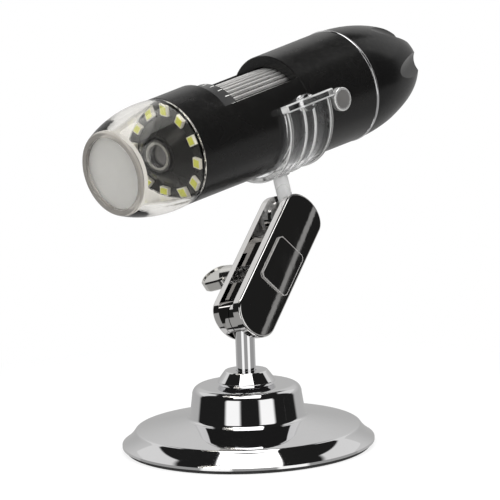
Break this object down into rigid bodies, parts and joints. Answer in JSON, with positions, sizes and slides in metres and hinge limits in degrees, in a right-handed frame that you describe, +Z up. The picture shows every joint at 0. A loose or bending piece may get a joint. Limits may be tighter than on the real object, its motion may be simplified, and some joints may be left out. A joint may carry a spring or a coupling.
{
  "type": "usb digital microscope",
  "caption": "Handheld USB digital microscope with a clear nose and focus wheel, held by a clear clip on a chromed desk stand with a clamped ball-jointed arm",
  "frame": {"origin": "centre of the base's underside, where it stands on the desk", "axes": "+Z up along the post; the microscope's optical axis leans in the XZ plane, with +X towards the tail"},
  "size_m": [0.1185, 0.071, 0.114],
  "materials": {
    "chrome_shell": "mirror chrome plating",
    "chrome_turned": "mirror chrome plating",
    "chrome_cast": "dark mirror chrome on a casting",
    "chrome_nut": "satin chrome",
    "chrome_trim": "polished chrome",
    "cast_weight": "raw casting",
    "pad_rubber": "matte",
    "washer_nylon": "natural",
    "stud_steel": "plated",
    "clear_stem": "frosted clear plastic",
    "clear_clip": "clear polycarbonate",
    "clear_nose": "clear acrylic",
    "frosted_window": "frosted clear plastic",
    "light_board": "black solder mask",
    "led_package": "white package with yellow phosphor",
    "gloss_hood": "gloss black",
    "black_barrel": "satin black",
    "gloss_ring": "semi gloss black",
    "black_chassis": "black moulding",
    "green_board": "green solder mask",
    "switch_black": "matte",
    "gloss_tail": "gloss black",
    "gland_rubber": "matte",
    "sensor_glass": "glass-faced package",
    "satin_wheel": "satin silver",
    "lens_trim": "satin",
    "lens_glass": "coated glass",
    "satin_button": "satin, polished rim"
  },
  "bodies": {
    "base": {"base_shell": "chrome_shell", "base_weight": "cast_weight", "base_pad": "pad_rubber", "collar_nut": "chrome_turned", "friction_washer": "washer_nylon"},
    "post": {"post": "chrome_turned"},
    "arm": {"clamp_plate_front": "chrome_cast", "clamp_plate_back": "chrome_cast", "clamp_stud": "stud_steel", "nut_washer": "stud_steel"},
    "nut": {"thumb_nut": "chrome_nut"},
    "stem": {"ball_stem": "clear_stem"},
    "clip": {"cradle": "clear_clip"},
    "microscope": {"nose_shroud": "clear_nose", "front_window": "frosted_window", "led_board": "light_board", "leds": "led_package", "lens_hood": "gloss_hood", "front_barrel": "black_barrel", "scale_ring": "gloss_ring", "chassis_tube": "black_chassis", "rear_shell": "black_barrel", "snap_board": "green_board", "snap_switch": "switch_black", "trim_ring": "chrome_trim", "tail_cap": "gloss_tail", "cable_gland": "gland_rubber", "sensor_board": "green_board", "image_sensor": "sensor_glass", "main_board": "green_board"},
    "wheel": {"focus_wheel": "satin_wheel"},
    "lens": {"lens_carrier": "black_chassis", "drive_pin": "stud_steel", "lens_ring": "lens_trim", "front_lens": "lens_glass", "rear_lens": "lens_glass"},
    "button": {"snap_button": "satin_button"}
  },
  "joints": [
    {"name": "post_swivel", "type": "hinge", "parent": "base", "child": "post", "pos_m": [0, 0, 0.0176], "axis": [0, 0, 1], "continuous": true},
    {"name": "arm_pitch", "type": "hinge", "parent": "post", "child": "arm", "pos_m": [0, 0, 0.03695], "axis": [0, 0.977, -0.213], "range_deg": [-7, 38]},
    {"name": "nut_turn", "type": "hinge", "parent": "arm", "child": "nut", "pos_m": [0.01159, 0.00814, 0.04705], "axis": [0, 0.977, -0.213], "continuous": true},
    {"name": "stem_pitch", "type": "hinge", "parent": "arm", "child": "stem", "pos_m": [0.0249, 0.00532, 0.06132], "axis": [0, 0.977, -0.213], "range_deg": [-45, 30]},
    {"name": "clip_twist", "type": "hinge", "parent": "stem", "child": "clip", "pos_m": [0.02279, 0.0067, 0.07285], "axis": [-0.1794, 0.1172, 0.9768], "continuous": true},
    {"name": "microscope_roll", "type": "hinge", "parent": "clip", "child": "microscope", "pos_m": [0.01939, 0.00892, 0.09136], "axis": [0.9835, 0, 0.1807], "continuous": true},
    {"name": "focus_turn", "type": "hinge", "parent": "microscope", "child": "wheel", "pos_m": [0.00994, 0.00892, 0.08962], "axis": [0.9835, 0, 0.1807], "range_deg": [-150, 150]},
    {"name": "lens_slide", "type": "slide", "parent": "microscope", "child": "lens", "axis": [0.9835, 0, 0.1807], "range_m": [-0.00404, 0.00404]},
    {"name": "snap_press", "type": "slide", "parent": "microscope", "child": "button", "axis": [0.0126, 0.9976, -0.0686], "range_m": [0, 0.0004], "stiffness_N_per_m": 800}
  ],
  "couplings": [
    {"joint": "lens_slide", "follows": "focus_turn", "m_per_rad": 0.0015416}
  ]
}
